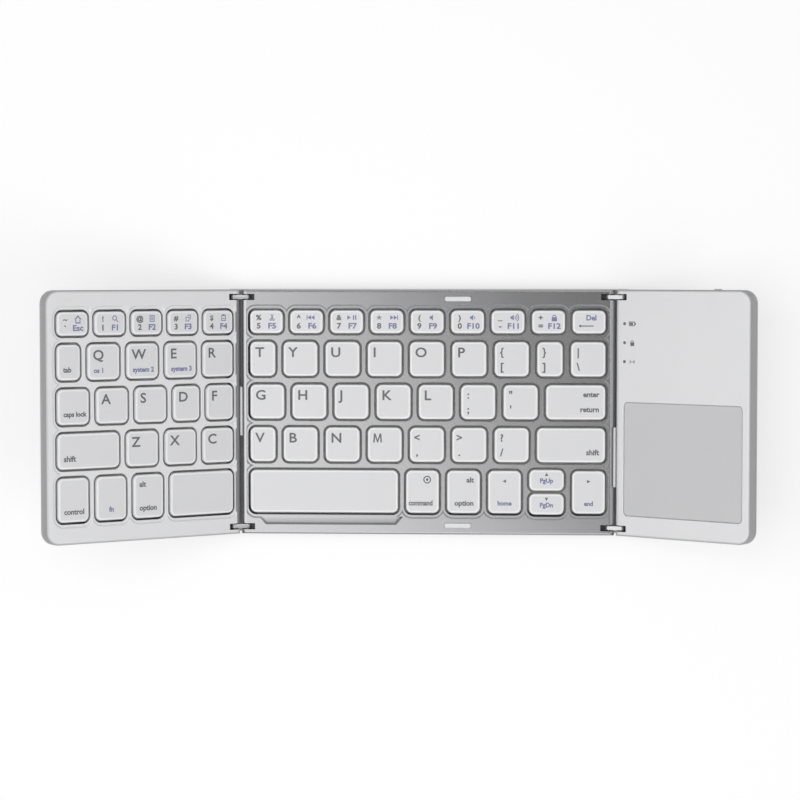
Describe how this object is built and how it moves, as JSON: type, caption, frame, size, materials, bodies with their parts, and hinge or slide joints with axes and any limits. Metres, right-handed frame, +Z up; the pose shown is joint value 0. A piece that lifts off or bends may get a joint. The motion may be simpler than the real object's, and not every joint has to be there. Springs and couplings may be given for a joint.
{
  "type": "folding keyboard",
  "caption": "Three-panel folding keyboard with a touchpad on its right wing, standing open with both wings tilted up on double-pivot hinges.",
  "frame": {"origin": "centre of the bounding box at table height, with the wings at their rest angles", "axes": "+X to the right of the typist, +Y to the back edge, +Z up"},
  "size_m": [0.2748, 0.0984, 0.0597],
  "materials": {
    "frame_silver": "satin silver paint",
    "bezel_silver": "satin silver paint",
    "shell_silver": "satin silver paint",
    "keycap": "satin",
    "steel": "satin",
    "membrane": "smooth",
    "dome_rubber": "soft",
    "foot_rubber": "soft",
    "sleeve_rubber": "soft",
    "bumper": "soft",
    "magnet": "nickel plated",
    "touchpad": "fine satin",
    "board": "solder mask",
    "battery": "foil pouch",
    "lamp": "smoked",
    "button": "satin"
  },
  "bodies": {
    "mid_panel": {"mid_top_cover": "frame_silver", "mid_bottom_shell": "shell_silver", "mid_key_plate": "steel", "mid_membrane": "membrane", "mid_domes": "dome_rubber", "mid_feet": "foot_rubber", "mid_magnets": "magnet", "mid_screws": "steel", "rim_bumpers": "bumper", "mid_hinge_pins": "steel"},
    "left_link": {"left_hinge_links": "steel", "left_cable_sleeve": "sleeve_rubber"},
    "left_wing": {"left_top_cover": "bezel_silver", "left_bottom_shell": "shell_silver", "left_key_plate": "steel", "left_membrane": "membrane", "left_domes": "dome_rubber", "left_feet": "foot_rubber", "left_screws": "steel", "left_hinge_pins": "steel"},
    "right_link": {"right_hinge_links": "steel", "right_cable_sleeve": "sleeve_rubber"},
    "right_wing": {"right_top_cover": "bezel_silver", "right_bottom_shell": "shell_silver", "touchpad": "touchpad", "touchpad_board": "board", "battery": "battery", "main_board": "board", "charging_port": "steel", "indicator_lights": "lamp", "right_latch_plates": "steel", "right_feet": "foot_rubber", "right_screws": "steel", "right_hinge_pins": "steel"},
    "power_button": {"power_button": "button"},
    "left_number_keys": {"left_number_keys": "keycap"},
    "key_tab": {"key_tab": "keycap"},
    "left_upper_keys": {"left_upper_keys": "keycap"},
    "key_caps": {"key_caps": "keycap"},
    "left_home_keys": {"left_home_keys": "keycap"},
    "key_left_shift": {"key_left_shift": "keycap"},
    "left_lower_keys": {"left_lower_keys": "keycap"},
    "key_control": {"key_control": "keycap"},
    "key_fn": {"key_fn": "keycap"},
    "key_left_alt": {"key_left_alt": "keycap"},
    "key_left_space": {"key_left_space": "keycap"},
    "mid_number_keys": {"mid_number_keys": "keycap"},
    "mid_upper_keys": {"mid_upper_keys": "keycap"},
    "key_backslash": {"key_backslash": "keycap"},
    "mid_home_keys": {"mid_home_keys": "keycap"},
    "key_enter": {"key_enter": "keycap"},
    "mid_lower_keys": {"mid_lower_keys": "keycap"},
    "key_right_shift": {"key_right_shift": "keycap"},
    "key_space": {"key_space": "keycap"},
    "key_command": {"key_command": "keycap"},
    "key_right_alt": {"key_right_alt": "keycap"},
    "key_left_arrow": {"key_left_arrow": "keycap"},
    "key_up": {"key_up": "keycap"},
    "key_down": {"key_down": "keycap"},
    "key_right_arrow": {"key_right_arrow": "keycap"}
  },
  "joints": [
    {"name": "left_link_fold", "type": "hinge", "parent": "mid_panel", "child": "left_link", "pos_m": [-0.06354, -0.0002, 0.00545], "axis": [0, 1, 0], "range_deg": [-18.75, 71.25], "deforming": ["left_cable_sleeve"]},
    {"name": "left_wing_fold", "type": "hinge", "parent": "left_link", "child": "left_wing", "pos_m": [-0.06856, -0.0002, 0.00715], "axis": [0, 1, 0], "range_deg": [-18.75, 71.25]},
    {"name": "right_link_fold", "type": "hinge", "parent": "mid_panel", "child": "right_link", "pos_m": [0.08136, -0.0002, 0.00545], "axis": [0, -1, 0], "range_deg": [-17.25, 72.75], "deforming": ["right_cable_sleeve"]},
    {"name": "right_wing_fold", "type": "hinge", "parent": "right_link", "child": "right_wing", "pos_m": [0.08642, -0.0002, 0.00702], "axis": [0, -1, 0], "range_deg": [-17.25, 72.75]},
    {"name": "power_button_press", "type": "slide", "parent": "right_wing", "child": "power_button", "axis": [0, -1, 0], "range_m": [0, 0.0003], "stiffness_N_per_m": 900, "springref_m": -0.0003},
    {"name": "left_number_keys_press", "type": "slide", "parent": "left_wing", "child": "left_number_keys", "axis": [-0.6088, 0, -0.7934], "range_m": [0, 0.0014], "stiffness_N_per_m": 300, "springref_m": -0.0006, "deforming": ["left_domes"]},
    {"name": "key_tab_press", "type": "slide", "parent": "left_wing", "child": "key_tab", "axis": [-0.6088, 0, -0.7934], "range_m": [0, 0.0014], "stiffness_N_per_m": 300, "springref_m": -0.0006, "deforming": ["left_domes"]},
    {"name": "left_upper_keys_press", "type": "slide", "parent": "left_wing", "child": "left_upper_keys", "axis": [-0.6088, 0, -0.7934], "range_m": [0, 0.0014], "stiffness_N_per_m": 300, "springref_m": -0.0006, "deforming": ["left_domes"]},
    {"name": "key_caps_press", "type": "slide", "parent": "left_wing", "child": "key_caps", "axis": [-0.6088, 0, -0.7934], "range_m": [0, 0.0014], "stiffness_N_per_m": 300, "springref_m": -0.0006, "deforming": ["left_domes"]},
    {"name": "left_home_keys_press", "type": "slide", "parent": "left_wing", "child": "left_home_keys", "axis": [-0.6088, 0, -0.7934], "range_m": [0, 0.0014], "stiffness_N_per_m": 300, "springref_m": -0.0006, "deforming": ["left_domes"]},
    {"name": "key_left_shift_press", "type": "slide", "parent": "left_wing", "child": "key_left_shift", "axis": [-0.6088, 0, -0.7934], "range_m": [0, 0.0014], "stiffness_N_per_m": 300, "springref_m": -0.0006, "deforming": ["left_domes"]},
    {"name": "left_lower_keys_press", "type": "slide", "parent": "left_wing", "child": "left_lower_keys", "axis": [-0.6088, 0, -0.7934], "range_m": [0, 0.0014], "stiffness_N_per_m": 300, "springref_m": -0.0006, "deforming": ["left_domes"]},
    {"name": "key_control_press", "type": "slide", "parent": "left_wing", "child": "key_control", "axis": [-0.6088, 0, -0.7934], "range_m": [0, 0.0014], "stiffness_N_per_m": 300, "springref_m": -0.0006, "deforming": ["left_domes"]},
    {"name": "key_fn_press", "type": "slide", "parent": "left_wing", "child": "key_fn", "axis": [-0.6088, 0, -0.7934], "range_m": [0, 0.0014], "stiffness_N_per_m": 300, "springref_m": -0.0006, "deforming": ["left_domes"]},
    {"name": "key_left_alt_press", "type": "slide", "parent": "left_wing", "child": "key_left_alt", "axis": [-0.6088, 0, -0.7934], "range_m": [0, 0.0014], "stiffness_N_per_m": 300, "springref_m": -0.0006, "deforming": ["left_domes"]},
    {"name": "key_left_space_press", "type": "slide", "parent": "left_wing", "child": "key_left_space", "axis": [-0.6088, 0, -0.7934], "range_m": [0, 0.0014], "stiffness_N_per_m": 300, "springref_m": -0.0006, "deforming": ["left_domes"]},
    {"name": "mid_number_keys_press", "type": "slide", "parent": "mid_panel", "child": "mid_number_keys", "axis": [0, 0, -1], "range_m": [0, 0.0014], "stiffness_N_per_m": 300, "springref_m": -0.0006, "deforming": ["mid_domes"]},
    {"name": "mid_upper_keys_press", "type": "slide", "parent": "mid_panel", "child": "mid_upper_keys", "axis": [0, 0, -1], "range_m": [0, 0.0014], "stiffness_N_per_m": 300, "springref_m": -0.0006, "deforming": ["mid_domes"]},
    {"name": "key_backslash_press", "type": "slide", "parent": "mid_panel", "child": "key_backslash", "axis": [0, 0, -1], "range_m": [0, 0.0014], "stiffness_N_per_m": 300, "springref_m": -0.0006, "deforming": ["mid_domes"]},
    {"name": "mid_home_keys_press", "type": "slide", "parent": "mid_panel", "child": "mid_home_keys", "axis": [0, 0, -1], "range_m": [0, 0.0014], "stiffness_N_per_m": 300, "springref_m": -0.0006, "deforming": ["mid_domes"]},
    {"name": "key_enter_press", "type": "slide", "parent": "mid_panel", "child": "key_enter", "axis": [0, 0, -1], "range_m": [0, 0.0014], "stiffness_N_per_m": 300, "springref_m": -0.0006, "deforming": ["mid_domes"]},
    {"name": "mid_lower_keys_press", "type": "slide", "parent": "mid_panel", "child": "mid_lower_keys", "axis": [0, 0, -1], "range_m": [0, 0.0014], "stiffness_N_per_m": 300, "springref_m": -0.0006, "deforming": ["mid_domes"]},
    {"name": "key_right_shift_press", "type": "slide", "parent": "mid_panel", "child": "key_right_shift", "axis": [0, 0, -1], "range_m": [0, 0.0014], "stiffness_N_per_m": 300, "springref_m": -0.0006, "deforming": ["mid_domes"]},
    {"name": "key_space_press", "type": "slide", "parent": "mid_panel", "child": "key_space", "axis": [0, 0, -1], "range_m": [0, 0.0014], "stiffness_N_per_m": 300, "springref_m": -0.0006, "deforming": ["mid_domes"]},
    {"name": "key_command_press", "type": "slide", "parent": "mid_panel", "child": "key_command", "axis": [0, 0, -1], "range_m": [0, 0.0014], "stiffness_N_per_m": 300, "springref_m": -0.0006, "deforming": ["mid_domes"]},
    {"name": "key_right_alt_press", "type": "slide", "parent": "mid_panel", "child": "key_right_alt", "axis": [0, 0, -1], "range_m": [0, 0.0014], "stiffness_N_per_m": 300, "springref_m": -0.0006, "deforming": ["mid_domes"]},
    {"name": "key_left_arrow_press", "type": "slide", "parent": "mid_panel", "child": "key_left_arrow", "axis": [0, 0, -1], "range_m": [0, 0.0014], "stiffness_N_per_m": 300, "springref_m": -0.0006, "deforming": ["mid_domes"]},
    {"name": "key_up_press", "type": "slide", "parent": "mid_panel", "child": "key_up", "axis": [0, 0, -1], "range_m": [0, 0.0014], "stiffness_N_per_m": 300, "springref_m": -0.0006, "deforming": ["mid_domes"]},
    {"name": "key_down_press", "type": "slide", "parent": "mid_panel", "child": "key_down", "axis": [0, 0, -1], "range_m": [0, 0.0014], "stiffness_N_per_m": 300, "springref_m": -0.0006, "deforming": ["mid_domes"]},
    {"name": "key_right_arrow_press", "type": "slide", "parent": "mid_panel", "child": "key_right_arrow", "axis": [0, 0, -1], "range_m": [0, 0.0014], "stiffness_N_per_m": 300, "springref_m": -0.0006, "deforming": ["mid_domes"]}
  ],
  "couplings": [
    {"joint": "left_wing_fold", "follows": "left_link_fold", "ratio": 1},
    {"joint": "right_wing_fold", "follows": "right_link_fold", "ratio": 1}
  ]
}
